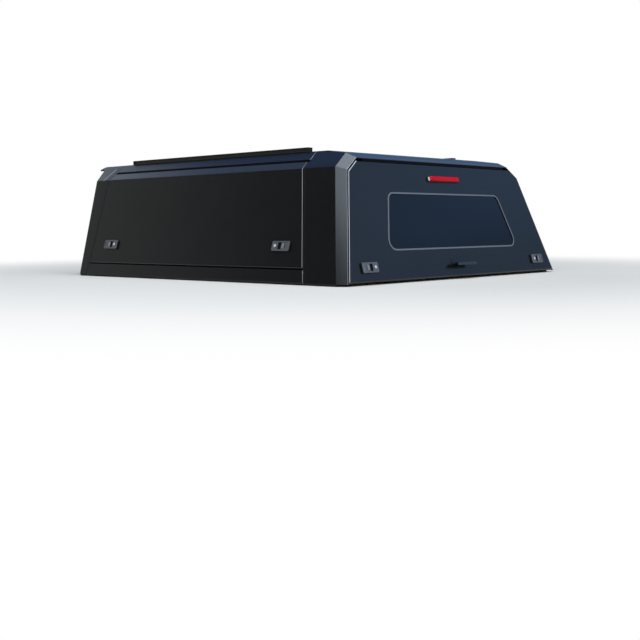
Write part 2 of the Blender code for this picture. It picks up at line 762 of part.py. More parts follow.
def add_side_door(side, hand):
    axis = chamfer_world(Vector((0, 0)))
    middle = (door_rear(axis.y) + door_front(axis.y)) / 2
    pivot = add_pivot(f"{side}_door_pivot", (hand * axis.x, middle, axis.y))

    def loop(inset, depth, top=None):
        return side_loop(hand, inset, depth, top)

    loop_solid(f"{side}_door_skin", tray_loops(loop), "coat", pivot, side_caps(), cut_level=2)
    outer = DOOR_DEPTH + SEAT
    deep = outer + SHEET
    ramp = PAN_RIM + PAN_RAMP
    top_ramp = PAN_TOP_RIM + PAN_TOP_RAMP
    loops = [loop(ramp, deep - PAN_PRESS, top_ramp), loop(PAN_RIM, deep, PAN_TOP_RIM), loop(PAN_MARGIN, deep),
             loop(PAN_MARGIN, outer), loop(PAN_RIM, outer, PAN_TOP_RIM), loop(ramp, outer - PAN_PRESS, top_ramp)]
    loop_solid(f"{side}_door_inner_pan", loops, "inner_coat", pivot, side_caps(), cut_level=2)
    add_side_hinge(side, hand, pivot)
    for place, station, direction in (("front", SIDE_DOOR_FRONT - FRONT_LATCH_SETBACK, -1),
                                      ("rear", SIDE_DOOR_REAR + REAR_LATCH_SETBACK, 1)):
        outer_end = REAR_FOOT_Y + station - direction * LATCH_LENGTH / 2

        def spot(along, across, out, outer_end=outer_end, direction=direction):
            return side_point(hand, outer_end + direction * along, SIDE_LATCH_UP + across, SEAT + out)

        add_latch(f"{side}_door_{place}", spot, pivot)


# A latch lies in its own frame: along from its outer end, across, and out from the door
def rounded_box(start, end, half, radius):
    corners = [Vector((start, -half)), Vector((end, -half)), Vector((end, half)), Vector((start, half))]
    return round_outline(corners, radius, 3)


def add_latch(name, spot, pivot):
    half = LATCH_HEIGHT / 2
    plate = rounded_box(0.0, LATCH_LENGTH, half, LATCH_CORNER)
    face = rounded_box(LATCH_EDGE, LATCH_LENGTH - LATCH_EDGE, half - LATCH_EDGE, LATCH_CORNER - LATCH_EDGE)
    well_half = half - WELL_MARGIN
    well = rounded_box(WELL_START, WELL_START + WELL_LENGTH, well_half, LATCH_EDGE)
    levels = [(plate, 0.0), (plate, LATCH_THICKNESS - LATCH_EDGE), (face, LATCH_THICKNESS),
              (well, LATCH_THICKNESS), (well, LATCH_FLOOR)]
    loops = [[spot(point.x, point.y, out) for point in outline] for outline, out in levels]
    housing = loop_solid(f"{name}_latch", loops, "latch", pivot)
    centre = Vector((LATCH_LENGTH - KEY_FROM_END, 0))
    circle = [centre + point for point in arc(KEY_RADIUS, 0.0, 2 * math.pi, 20)[:-1]]
    loops = [[spot(point.x, point.y, out) for point in circle]
             for out in (LATCH_THICKNESS - KEY_STAND, LATCH_THICKNESS + KEY_STAND)]
    key = loop_solid(f"{name}_key", loops, "trim", pivot)
    apply_boolean(housing, key, "UNION")

    axis = Vector((WELL_START + BARREL_FROM_WALL, LATCH_THICKNESS - PADDLE_RECESS - BARREL_RADIUS))
    hinge = add_pivot(f"{name}_paddle_pivot", spot(axis.x, 0.0, axis.y), pivot)
    drop = BARREL_RADIUS - PADDLE_THICKNESS
    meet = math.asin(drop / BARREL_RADIUS)
    outline = [axis + point for point in arc(BARREL_RADIUS, math.pi / 2, 2 * math.pi + meet, 10)]
    outline.append(axis + Vector((PADDLE_LENGTH, drop)))
    outline.append(axis + Vector((PADDLE_LENGTH, BARREL_RADIUS)))
    reach = well_half - PADDLE_GAP
    loops = [[spot(point.x, across, point.y) for point in outline] for across in (-reach, reach)]
    loop_solid(f"{name}_paddle", loops, "latch", hinge, smooth=math.radians(40))


# Rear door
def window_outline(inset):
    low = WINDOW_FOOT + inset
    high = rear_door_top - WINDOW_DROP - inset
    lean = (WINDOW_TOP_INSET - WINDOW_FOOT_INSET) / (high - low + 2 * inset)
    slant = inset * math.hypot(1.0, lean)
    low_half = BASE_HALF_WIDTH - WINDOW_FOOT_INSET - inset * lean - slant
    high_half = BASE_HALF_WIDTH - WINDOW_TOP_INSET + inset * lean - slant
    corners = [Vector((-low_half, low)), Vector((low_half, low)), Vector((high_half, high)),
               Vector((-high_half, high))]
    return round_outline(corners, WINDOW_CORNER - inset)


def rear_window_loop(inset, out):
    return [rear_point(point.x, point.y, out) for point in window_outline(inset)]


def cut_window(target, inset, pivot):
    loops = [rear_window_loop(inset, out) for out in (DOOR_DEPTH, -2 * DOOR_DEPTH)]
    apply_boolean(target, loop_solid("window_cutter", loops, "glass", pivot), "DIFFERENCE")


def add_rear_door():
    pivot = add_pivot("rear_door_pivot", rear_point(0.0, rear_axis_up, -HINGE_DEPTH))
    skin = loop_solid("rear_door_skin", tray_loops(rear_loop), "coat", pivot, cut_level=2)
    cut_window(skin, TRIM_WIDTH - TRIM_LAP, pivot)
    outer = DOOR_DEPTH + SEAT
    deep = outer + SHEET
    ramp = PAN_RIM + PAN_RAMP
    loops = [rear_loop(ramp, deep - PAN_PRESS), rear_loop(PAN_RIM, deep), rear_loop(PAN_MARGIN, deep),
             rear_loop(PAN_MARGIN, outer), rear_loop(PAN_RIM, outer), rear_loop(ramp, outer - PAN_PRESS)]
    pan = loop_solid("rear_door_inner_pan", loops, "inner_coat", pivot, cut_level=2)
    cut_window(pan, -PAN_WINDOW_GAP, pivot)
    trim = [rear_window_loop(0.0, SEAT), rear_window_loop(0.0, TRIM_STAND),
            rear_window_loop(TRIM_WIDTH, TRIM_STAND), rear_window_loop(TRIM_WIDTH, SEAT)]
    ring_solid("rear_window_trim", trim, "trim", pivot)
    glass_face = -SHEET - SEAT
    pane = [rear_window_loop(-GLASS_LAP, out) for out in (glass_face, glass_face - GLASS)]
    loop_solid("rear_window_glass", pane, "glass", pivot)
    add_rear_hinge(pivot)
    add_brake_light(pivot)
    add_pull(pivot)
    for side, hand in (("left", -1), ("right", 1)):
        outer_end = BASE_HALF_WIDTH - REAR_LATCH_INSET + LATCH_LENGTH / 2

        def spot(along, across, out, hand=hand, outer_end=outer_end):
            return rear_point(hand * (outer_end - along), REAR_LATCH_UP + across, SEAT + out)

        add_latch(f"rear_door_{side}", spot, pivot)


def add_rear_hinge(pivot):
    half = band_edge.x - 2 * DOOR_LIP
    for name, outline, owner in (("rear_hinge_socket", fixed_leaf_outline(BAND_EDGE, band_along), None),
                                 ("rear_hinge_bead", door_leaf_outline(), pivot)):
        loops = [[rear_world(x, point) for point in outline] for x in (-half, half)]
        loop_solid(name, loops, "aluminium", owner, smooth=math.radians(30))


def add_rear_gutter():
    half = band_edge.x - 2 * DOOR_LIP
    inward = Vector((band_along.y, -band_along.x))
    under = SHEET + SEAT + LEAF_THICKNESS + SEAT
    edge = Vector((BAND_EDGE, HINGE_DEPTH)) + inward * under
    turn = edge + band_along * GUTTER_TURN
    low = HINGE_DEPTH - JAMB
    path = [edge + band_along * GUTTER_SEAT, turn, Vector((turn.x, low)), Vector((-DOOR_EDGE - LAP, low))]
    grids = [[[rear_world(x, point) for point in points] for x in (-half, half)]
             for points in (path, offset_path(path, SHEET))]
    sheet_solid("rear_gutter", grids[0], grids[1], "inner_coat", folded=False)


def add_rear_seal():
    landing = shifted(rear_plane, (JAMB - SEAT) * REAR_LEAN)
    face = shifted(rear_plane, (JAMB - SEAT - SEAL_HEIGHT) * REAR_LEAN)
    near = STRIP_INSET + SEAL_INSET
    far = near + SEAL_WIDTH
    high_z = FOOT_Z + (rear_door_top + DOOR_GAP - SEAL_INSET) / REAR_LEAN
    grids = []
    for reference in (landing, face):
        rows = []
        for depth in (near, far):
            drop = (depth - near) / REAR_LEAN
            start = crease + chamfer_inward * depth
            top_z = high_z - drop
            top_x = start.x + (top_z - start.y) * chamfer_along.x / chamfer_along.y
            low = place_point(foot_place, depth)
            middle = place_point(crease_place, depth)
            half = [(low.x, FOOT_Z), (middle.x, middle.y), (top_x, top_z)]
            outline = half + [(-x, z) for x, z in reversed(half)]
            rows.append([(x, reference(z), z) for x, z in outline])
        grids.append(rows)
    sheet_solid("rear_door_seal", grids[0], grids[1], "rubber")


def add_brake_light(pivot):
    centre = rear_door_top - LIGHT_DROP

    def loop(end, edge, out):
        half = LIGHT_WIDTH / 2 - end
        high = LIGHT_HEIGHT / 2 - edge
        corners = [Vector((-half, -high)), Vector((half, -high)), Vector((half, high)), Vector((-half, high))]
        return [rear_point(point.x, centre + point.y, out) for point in round_outline(corners, LIGHT_CORNER, 3)]

    base = [loop(0.0, 0.0, SEAT), loop(0.0, 0.0, LIGHT_BASE)]
    loop_solid("brake_light_base", base, "black_plastic", pivot)
    shoulder = LIGHT_STAND - LENS_TAPER
    slope = LENS_END * (shoulder - LIGHT_BASE) / (LIGHT_STAND - LIGHT_BASE)
    lens = [loop(LENS_INSET, LENS_INSET, LIGHT_BASE + SEAT), loop(LENS_INSET + slope, LENS_INSET, shoulder),
            loop(LENS_INSET + LENS_END, LENS_INSET + LENS_TAPER, LIGHT_STAND)]
    loop_solid("brake_light_lens", lens, "red_lens", pivot)


def add_pull(pivot):
    reach = PULL_REACH - SHEET
    path = [Vector((PULL_UP - PULL_LIP, reach)), Vector((PULL_UP, reach)), Vector((PULL_UP, SEAT)),
            Vector((PULL_UP + PULL_FLANGE, SEAT))]
    grids = [[[rear_point(x, point.x, point.y) for point in points]
              for x in (-PULL_WIDTH / 2, PULL_WIDTH / 2)] for points in (path, offset_path(path, SHEET))]
    sheet_solid("rear_door_pull", grids[0], grids[1], "coat", pivot)


# Front wall and its fixed window
def front_point(x, z, back):
    return (x, front_wall_face(z) - back, z)


def front_window_outline(inset):
    half = ROOF_HALF_WIDTH - FRONT_WINDOW_INSET - inset
    low = FOOT_Z + FRONT_WINDOW_FOOT + inset
    high = CREASE_Z - FRONT_WINDOW_DROP - inset
    corners = [Vector((-half, low)), Vector((half, low)), Vector((half, high)), Vector((-half, high))]
    return round_outline(corners, FRONT_WINDOW_CORNER - inset)


def front_window_loop(inset, back):
    return [front_point(point.x, point.y, back) for point in front_window_outline(inset)]


def add_front_wall():
    depth = SHEET + BEND + SEAT
    low = place_point(foot_place, depth)
    middle = place_point(crease_place, depth)
    high = place_point(crown_place, depth)
    half = [(low.x, low.y), (middle.x, middle.y), (high.x, high.y)]
    outline = half + [(-x, z) for x, z in reversed(half)]
    front = SHEET + SEAT
    loops = [[front_point(x, z, back) for x, z in outline] for back in (front, front + SHEET)]
    wall = loop_solid("front_wall", loops, "coat")
    cutter_loops = [front_window_loop(0.0, back) for back in (front - SHEET, front + 2 * SHEET)]
    cutter = loop_solid("front_cutter", cutter_loops, "glass")
    apply_boolean(wall, cutter, "DIFFERENCE")
    pane = [front_window_loop(SEAT, back) for back in (front, front + GLASS)]
    loop_solid("front_window_glass", pane, "glass")
    face = front - SEAT
    seal = [front_window_loop(inset, back) for inset, back in
            ((-FRONT_TRIM / 2, face), (-FRONT_TRIM / 2, face - TRIM_STAND),
             (FRONT_TRIM / 2, face - TRIM_STAND), (FRONT_TRIM / 2, face))]
    ring_solid("front_window_seal", seal, "rubber")


# Roof furniture
def add_roof_rail(side, hand):
    low = CROWN_Z + SEAT
    high = low + RAIL_HEIGHT
    middle = (low + high) / 2
    outer = ROOF_HALF_WIDTH - RAIL_INSET
    inner = outer - RAIL_WIDTH
    slot_low = middle - RAIL_SLOT / 2
    slot_high = middle + RAIL_SLOT / 2

    def loop(y, slot_depth):
        slot = outer - slot_depth
        outline = [(outer, low), (outer, slot_low), (slot, slot_low), (slot, slot_high), (outer, slot_high),
                   (outer, high), (inner, high), (inner, low)]
        return [(hand * x, y, z) for x, z in outline]

    start = REAR_FOOT_Y + ROOF_SEAM + RAIL_REAR_SETBACK
    end = REAR_FOOT_Y + SIDE_DOOR_FRONT - RAIL_FRONT_SETBACK
    loops = [loop(start, 0.0), loop(start + RAIL_CAP, 0.0), loop(start + RAIL_CAP, RAIL_SLOT_DEPTH),
             loop(end - RAIL_CAP, RAIL_SLOT_DEPTH), loop(end - RAIL_CAP, 0.0), loop(end, 0.0)]
    loop_solid(f"{side}_roof_rail", loops, "aluminium")


def add_roof_bow(name, station):
    half = CROWN_HALF_WIDTH - GUTTER_TURN
    y = REAR_FOOT_Y + station
    top = CROWN_Z - SHEET - SEAT
    path = [Vector((y - BOW_WIDTH / 2, top - BOW_HEIGHT)), Vector((y - BOW_WIDTH / 2, top)),
            Vector((y + BOW_WIDTH / 2, top)), Vector((y + BOW_WIDTH / 2, top - BOW_HEIGHT))]
    inner = offset_path(path, -SHEET)
    grids = [[[(x, point.x, point.y) for point in points] for x in (-half, half)] for points in (path, inner)]
    sheet_solid(name, grids[0], grids[1], "inner_coat")


clear_scene()
for side_name, side_hand in (("left", -1), ("right", 1)):
    add_rear_pillar(side_name, side_hand)
    add_front_pillar(side_name, side_hand)
    add_sill_panel(side_name, side_hand)
    add_base_rail(side_name, side_hand)
    add_side_gutter(side_name, side_hand)
    add_side_seal(side_name, side_hand)
    add_side_door(side_name, side_hand)
    add_roof_rail(side_name, side_hand)
add_front_base_rail()
add_base_seal()
add_roof_panel()
add_rear_roof_panel()
add_front_roof_cap()
add_front_wall()
add_rear_door()
add_rear_gutter()
add_rear_seal()
add_roof_bow("rear_roof_bow", ROOF_SEAM + BOW_SETBACK)
add_roof_bow("front_roof_bow", SIDE_DOOR_FRONT - BOW_SETBACK)
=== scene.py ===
import json
import math

import bmesh
import bpy
from mathutils import Matrix, Vector


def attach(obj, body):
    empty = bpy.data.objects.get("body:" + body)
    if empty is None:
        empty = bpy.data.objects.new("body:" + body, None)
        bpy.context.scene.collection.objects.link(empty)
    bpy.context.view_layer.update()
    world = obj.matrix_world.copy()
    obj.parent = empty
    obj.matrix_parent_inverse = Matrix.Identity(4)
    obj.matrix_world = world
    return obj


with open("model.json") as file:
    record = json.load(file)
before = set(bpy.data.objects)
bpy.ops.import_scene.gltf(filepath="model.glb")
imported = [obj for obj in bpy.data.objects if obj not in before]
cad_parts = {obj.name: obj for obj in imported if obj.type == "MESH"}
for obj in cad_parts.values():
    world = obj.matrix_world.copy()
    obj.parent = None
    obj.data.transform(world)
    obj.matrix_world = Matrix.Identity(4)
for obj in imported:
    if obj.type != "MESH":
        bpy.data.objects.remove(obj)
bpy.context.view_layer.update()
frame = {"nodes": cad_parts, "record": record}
nodes = frame["nodes"]
print("canopy frame:", len(nodes), "nodes")


# Shader maths
class Wire:  # one socket, so that a mask reads as plain arithmetic
    def __init__(self, tree, socket=None):
        self.tree = tree
        self.socket = socket

    def node(self, kind, settings=None, inputs=None, output=0):
        made = self.tree.nodes.new(kind)
        for name, value in (settings or {}).items():
            setattr(made, name, value)
        plug(made, inputs or {})
        return Wire(self.tree, made.outputs[output] if made.outputs else None)

    def maths(self, operation, first, second=0.0):
        return self.node("ShaderNodeMath", {"operation": operation}, {0: first, 1: second})

    def vector(self, operation, second=(0.0, 0.0, 0.0), output="Vector"):
        return self.node("ShaderNodeVectorMath", {"operation": operation}, {0: self, 1: second}, output)

    def __add__(self, other):
        return self.maths("ADD", self, other)

    def __radd__(self, other):
        return self.maths("ADD", other, self)

    def __sub__(self, other):
        return self.maths("SUBTRACT", self, other)

    def __rsub__(self, other):
        return self.maths("SUBTRACT", other, self)

    def __mul__(self, other):
        return self.maths("MULTIPLY", self, other)

    def __rmul__(self, other):
        return self.maths("MULTIPLY", other, self)

    def __abs__(self):
        return self.maths("ABSOLUTE", self)

    def least(self, other):
        return self.maths("MINIMUM", self, other)

    def most(self, other):
        return self.maths("MAXIMUM", self, other)

    def wave(self):
        return self.maths("SINE", self)

    def mixed(self, other, share):  # this mask for its share, the other for the rest
        return self * share + other * (1.0 - share)

    def step(self, low, high):  # 0 below low, 1 above high, smooth between
        return self.node("ShaderNodeMapRange", {"interpolation_type": "SMOOTHSTEP"},
                         {"Value": self, "From Min": low, "From Max": high})

    def blend(self, first, second):  # colours, by this mask
        return self.node("ShaderNodeMix", {"data_type": "RGBA"}, {0: self, 6: first, 7: second}, 2)

    def noise(self, scale, detail=2.0, roughness=0.5):
        return self.node("ShaderNodeTexNoise", None,
                         {"Vector": self, "Scale": scale, "Detail": detail, "Roughness": roughness})

    def outputs(self):  # every output of this wire's node, by name
        return {socket.name: Wire(self.tree, socket) for socket in self.socket.node.outputs}

    def parts(self):  # x, y and z
        return self.node("ShaderNodeSeparateXYZ", None, {0: self}).outputs().values()


def plug(node, values):  # links and plain values into a node's sockets
    for name, value in values.items():
        if isinstance(value, Wire):
            value.tree.links.new(value.socket, node.inputs[name])
        else:
            node.inputs[name].default_value = value


def grey(value):
    return (value, value, value, 1.0)


def tone(colour, factor):
    return (colour[0] * factor, colour[1] * factor, colour[2] * factor, 1.0)


def shades(look):  # the darkest and lightest tone of a finish
    dark, light = look["spread"]
    return tone(look["colour"], dark), tone(look["colour"], light)


def startMaterial(name):
    material = bpy.data.materials.new(name)
    material.use_nodes = True
    tree = material.node_tree
    shader = tree.nodes["Principled BSDF"]
    place = Wire(tree).node("ShaderNodeTexCoord", output="Object")
    return material, shader, place


def bumped(height, strength, distance, under=None):  # relief, on top of a coarser one
    inputs = {"Height": height, "Strength": strength, "Distance": distance}
    if under:
        inputs["Normal"] = under
    return height.node("ShaderNodeBump", None, inputs, "Normal")


# Planes of the folded sheets: painted fold highlights, painted sheens and painted shade in the latch wells
# are placed by how far a point lies behind one
lean = Vector((0.485, 0.0, 0.155)).normalized()  # out of the right side
bevelTurn = Vector((0.063, 0.0, 0.090)).normalized()  # out of the bevel above it
rearTurn = Vector((0.0, -1.0, 0.277)).normalized()  # out of the rear
frontTurn = Vector((0.0, 1.0, -0.0907)).normalized()  # out of a side door's front edge
# the first colour here is a painted highlight for the folds, the second a painted sheen for the side doors'
# bevels, the third a painted sheen for the pull's face
foldLook = {"colour": (0.36, 0.367, 0.375), "doorGap": 0.0066, "core": 0.6,  # core: the full part of a mask
            "dustAndSheen": (0.0205, 0.0235, 0.0225, 1.0), "sheenDepth": 0.0012, "sheenLeast": 0.8, "sheenSpread": 0.4,
            "pullSheen": (0.022, 0.034, 0.040, 1.0), "pullSheenDepth": 0.009,
            "crown": 0.0014, "crownWidth": 0.0225}


def outerPlane(name, normal, gap=0.0):  # outermost plane of a node, its left side folded onto its right
    corners = [Vector((abs(vertex.co.x), vertex.co.y, vertex.co.z)) for vertex in nodes[name].data.vertices]
    return normal, max(corner.dot(normal) for corner in corners) + gap


def facingPlane(name, normal):  # the plane across the gap from a door's outermost plane
    turned, reach = outerPlane(name, normal, foldLook["doorGap"])
    return -turned, -reach


def planeDepth(place, plane):  # how far a point lies behind a plane, on either side of the canopy
    normal, reach = plane
    x, y, z = place.parts()
    point = place.node("ShaderNodeCombineXYZ", None, {0: abs(x), 1: y, 2: z})
    return reach - point.vector("DOT_PRODUCT", normal, "Value")


def planeMask(place, width, planes):  # 1 near any of the planes
    found = None
    for plane in planes:
        mask = 1.0 - abs(planeDepth(place, plane)).step(width * foldLook["core"], width)
        found = found.most(mask) if found else mask
    return found


# Finishes: a noise is given as scale, detail and roughness, a bump as strength and distance
coatLook = {"colour": (0.0060, 0.0069, 0.0072), "spread": (0.72, 1.3),
            "cloud": (2.6, 4.0, 0.6), "peel": (240, 2.0), "grain": (1500, 1.0), "cloudShare": 0.7,
            "fleck": (0.58, 0.75), "fleckShare": 0.35, "fleckLight": 2.3, "fleckRough": 0.08,
            "roughness": 0.20, "cloudRough": 0.05, "gloss": 0.5, "grainShare": 0.6, "bump": (0.12, 0.0002)}
innerLook = dict(coatLook, colour=(0.017, 0.018, 0.019), cloud=(4.0, 4.0, 0.6), peel=(160, 2.0),
                 grain=(900, 1.0), roughness=0.48, cloudRough=0.12, bump=(0.2, 0.0002))


def powderCoat(name, look, folds=None, sheened=None, pullSheen=None, crowned=None):
    material, shader, place = startMaterial(name)
    cloud = place.noise(*look["cloud"])
    peel = place.noise(*look["peel"])
    grain = place.noise(*look["grain"])
    fleck = grain.step(*look["fleck"])
    base = cloud.mixed(peel, look["cloudShare"]).blend(*shades(look))
    colour = (fleck * look["fleckShare"]).blend(base, tone(look["colour"], look["fleckLight"]))
    # painted sheen: the bevel face is painted lighter, with a cloudy spread
    if sheened:
        sheenStrength = cloud * foldLook["sheenSpread"] + foldLook["sheenLeast"]
        dustAndSheen = planeMask(place, foldLook["sheenDepth"], sheened) * sheenStrength
        colour = dustAndSheen.blend(colour, foldLook["dustAndSheen"])
    # painted sheen: the pull's outer face is painted a lighter blue-grey
    if pullSheen:
        colour = planeMask(place, foldLook["pullSheenDepth"], pullSheen).blend(colour, foldLook["pullSheen"])
    # painted highlight: the colour is made lighter along the folds, where a face meets an edge
    if folds:
        behind = planeMask(place, folds["behind"], folds["faces"])
        beside = planeMask(place, folds["beside"], folds["edges"])
        colour = (behind * beside).blend(colour, tone(foldLook["colour"], folds["highlightTone"]))
    under = None
    if crowned:  # the corner strip looks slightly rounded from its side fold to its rear fold
        across = (planeDepth(place, crowned) * (1.0 / foldLook["crownWidth"])).least(1.0).most(0.0)
        left = 1.0 - across
        under = bumped(1.0 - left * left, 1.0, foldLook["crown"])
    plug(shader, {"Base Color": colour,
                  "Roughness": look["roughness"] + cloud * look["cloudRough"] + fleck * look["fleckRough"],
                  "Specular IOR Level": look["gloss"],
                  "Normal": bumped(grain.mixed(peel, look["grainShare"]), *look["bump"], under)})
    return material


rubberLook = {"colour": (0.0085, 0.0085, 0.009), "spread": (0.75, 1.5),
              "skin": (700, 3.0), "cloud": (9.0, 3.0), "bump": (0.35, 0.0002),
              "roughness": 0.62, "skinRough": 0.16, "cloudRough": 0.06, "gloss": 0.4}


def sealRubber(look):
    material, shader, place = startMaterial("sealRubber")
    skin = place.noise(*look["skin"])
    cloud = place.noise(*look["cloud"])
    plug(shader, {"Base Color": cloud.blend(*shades(look)),
                  "Roughness": look["roughness"] + skin * look["skinRough"] + cloud * look["cloudRough"],
                  "Specular IOR Level": look["gloss"], "Normal": bumped(skin, *look["bump"])})
    return material


extrusionLook = {"colour": (0.0036, 0.0031, 0.0026), "spread": (0.7, 1.7), "drawn": (1.0, 0.012, 1.0),
                 "lines": (1100, 2.0), "cloud": (3.5, 3.0), "cloudShare": 0.6,
                 "roughness": 0.34, "lineRough": 0.14, "gloss": 0.08, "bump": (0.18, 0.00012)}
railLook = dict(extrusionLook, colour=(0.0125, 0.0112, 0.0092), gloss=0.2)


def blackExtrusion(name, look):  # fine lines run along the canopy, as drawn
    material, shader, place = startMaterial(name)
    lines = place.vector("MULTIPLY", look["drawn"]).noise(*look["lines"])
    cloud = place.noise(*look["cloud"])
    plug(shader, {"Base Color": cloud.mixed(lines, look["cloudShare"]).blend(*shades(look)),
                  "Roughness": look["roughness"] + lines * look["lineRough"],
                  "Specular IOR Level": look["gloss"], "Normal": bumped(lines, *look["bump"])})
    return material


glassLook = {"colour": (0.0016, 0.0028, 0.0055), "spread": (0.8, 1.25), "film": (5.0, 3.0),
             "ripple": (2.2, 1.0), "rippleStretch": (1.0, 1.0, 1.6), "bump": (0.05, 0.004),
             "dustAndSheen": (420, 2.0), "dustSpan": (0.62, 0.82), "dustShare": 0.05,
             "dustColour": (0.05, 0.06, 0.07, 1.0),
             "roughness": 0.035, "filmRough": 0.02, "dustRough": 0.03, "gloss": 0.28}


def tintedGlass(look):
    material, shader, place = startMaterial("tintedGlass")
    film = place.noise(*look["film"])
    ripple = place.vector("MULTIPLY", look["rippleStretch"]).noise(*look["ripple"])
    dustAndSheen = place.noise(*look["dustAndSheen"]).step(*look["dustSpan"])
    tint = film.blend(*shades(look))
    plug(shader, {"Base Color": (dustAndSheen * look["dustShare"]).blend(tint, look["dustColour"]),
                  "Roughness": look["roughness"] + film * look["filmRough"] + dustAndSheen * look["dustRough"],
                  "Specular IOR Level": look["gloss"], "Normal": bumped(ripple, *look["bump"])})
    return material


latchLook = {"colour": (0.170, 0.178, 0.188), "spread": (0.75, 1.35),
             "grain": (1100, 2.0), "cloud": (30.0, 3.0), "cloudShare": 0.6, "bump": (0.2, 0.00015),
             "metallic": 0.6, "roughness": 0.30, "grainRough": 0.16,
             "well": (0.020, 0.021, 0.023, 1.0), "wellDepth": 0.0034}
ribLook = dict(latchLook, colour=(0.36, 0.37, 0.39))


def latchCasting(name, look, face=None):  # painted shade: dark in its finger well, deep behind its face
    material, shader, place = startMaterial(name)
    grain = place.noise(*look["grain"])
    cloud = place.noise(*look["cloud"])
    colour = cloud.mixed(grain, look["cloudShare"]).blend(*shades(look))
    # painted shade in the finger well and on the walls behind the face
    if face:
        shaded = 1.0 - planeMask(place, look["wellDepth"], [face])
        colour = shaded.blend(colour, look["well"])
    plug(shader, {"Base Color": colour, "Metallic": look["metallic"],
                  "Roughness": look["roughness"] + grain * look["grainRough"],
                  "Normal": bumped(grain, *look["bump"])})
    return material


lensLook = {"colour": (0.74, 0.002, 0.017), "spread": (0.72, 1.2), "ribPitch": 0.0065, "cloud": (60.0, 2.0),
            "base": 0.25, "ribShare": 0.25, "cloudShare": 0.5, "gloss": 0.08,
            "endReflection": (0.70, 0.68, 0.70, 1.0), "endReflectionSpan": (0.1125, 0.1155),
            "roughness": 0.14, "cloudRough": 0.05, "bump": (0.12, 0.0006)}


def redLens(look):  # ribbed, with a painted reflection on its left end
    material, shader, place = startMaterial("redLens")
    x, y, z = place.parts()
    ribs = (x * (2 * math.pi / look["ribPitch"])).wave()
    cloud = place.noise(*look["cloud"])
    red = (ribs * look["ribShare"] + cloud * look["cloudShare"] + look["base"]).blend(*shades(look))
    # painted reflection: the lens's left end is painted pale grey
    plug(shader, {"Base Color": (0.0 - x).step(*look["endReflectionSpan"]).blend(red, look["endReflection"]),
                  "Roughness": look["roughness"] + cloud * look["cloudRough"],
                  "Specular IOR Level": look["gloss"], "Normal": bumped(ribs * 0.5 + 0.5, *look["bump"])})
    return material


trimLook = {"colour": (0.25, 0.255, 0.26), "spread": (0.8, 1.25), "grain": (600, 3.0), "metallic": 0.55,
            "roughness": 0.24, "grainRough": 0.14, "bump": (0.1, 0.0001)}
plasticLook = {"colour": (0.012, 0.012, 0.013), "spread": (0.7, 1.6), "grain": (800, 3.0), "metallic": 0.0,
               "roughness": 0.5, "grainRough": 0.15, "bump": (0.3, 0.0002)}
keyLook = {"colour": (0.86, 0.87, 0.89), "spread": (0.75, 1.15), "grain": (2500, 3.0), "metallic": 0.35,
           "roughness": 0.30, "grainRough": 0.15, "bump": (0.1, 0.00008)}


def grainedFinish(name, look):  # one fine grain varies its tone, roughness and relief
    material, shader, place = startMaterial(name)
    grain = place.noise(*look["grain"])
    plug(shader, {"Base Color": grain.blend(*shades(look)), "Metallic": look["metallic"],
                  "Roughness": look["roughness"] + grain * look["grainRough"],
                  "Normal": bumped(grain, *look["bump"])})
    return material


finishes = {
    "coat": powderCoat("powderCoat", coatLook),
    "inner_coat": powderCoat("innerCoat", innerLook),
    "rubber": sealRubber(rubberLook),
    "aluminium": blackExtrusion("blackExtrusion", extrusionLook),
    "glass": tintedGlass(glassLook),
    "latch": latchCasting("latchCasting", latchLook),
    "trim": grainedFinish("windowTrim", trimLook),
    "red_lens": redLens(lensLook),
    "black_plastic": grainedFinish("blackPlastic", plasticLook),
}
keyFinish = grainedFinish("keyMetal", keyLook)
# the raised ribs are toned lighter than the casting
ribFinish = latchCasting("lighterRibs", ribLook)

# A highlight is painted along the outer sheets' folds, where a face meets an edge
sideFace = outerPlane("left_door_skin", lean)
bevelFace = outerPlane("left_door_skin", bevelTurn)
rearFace = outerPlane("rear_door_skin", rearTurn)
foldHighlights = {  # how far the painted highlight reaches behind the faces and beside the edges
    "rearDoor": {"faces": [rearFace], "behind": 0.0029, "beside": 0.0025, "highlightTone": 2.0,
                 "edges": [outerPlane("rear_door_skin", turn) for turn in (lean, bevelTurn)]},
    "rearPillar": {"faces": [rearFace], "behind": 0.0052, "beside": 0.0042, "highlightTone": 1.0,
                   "edges": [facingPlane("rear_door_skin", turn) for turn in (lean, bevelTurn)]},
    "sideDoor": {"faces": [sideFace], "behind": 0.0029, "beside": 0.0019, "highlightTone": 1.25,
                 "edges": [outerPlane("left_door_skin", rearTurn)]},
    "sill": {"faces": [sideFace, bevelFace], "behind": 0.0029, "beside": 0.0019, "highlightTone": 0.8,
             "edges": [outerPlane("left_sill_panel", rearTurn)]},
    "roof": {"faces": [sideFace, bevelFace], "behind": 0.0029, "beside": 0.0019, "highlightTone": 1.0,
             "edges": [outerPlane("roof_panel", rearTurn)]},
    "frontPillar": {"faces": [bevelFace], "behind": 0.0029, "beside": 0.0030, "highlightTone": 1.0,
                    "edges": [facingPlane("left_door_skin", frontTurn)]},
}
sheenedBevels = {"sideDoor": [bevelFace]}  # the side doors' upper bevels get a painted sheen, a lighter tone over the whole bevel
cornerStrips = {"rearPillar": outerPlane("left_rear_pillar", lean)}  # the strips beside the rear door
sheetCoats = {}
for sheet, folds in foldHighlights.items():
    sheetCoats[sheet] = powderCoat(sheet + "Coat", coatLook, folds, sheenedBevels.get(sheet),
                                   crowned=cornerStrips.get(sheet))

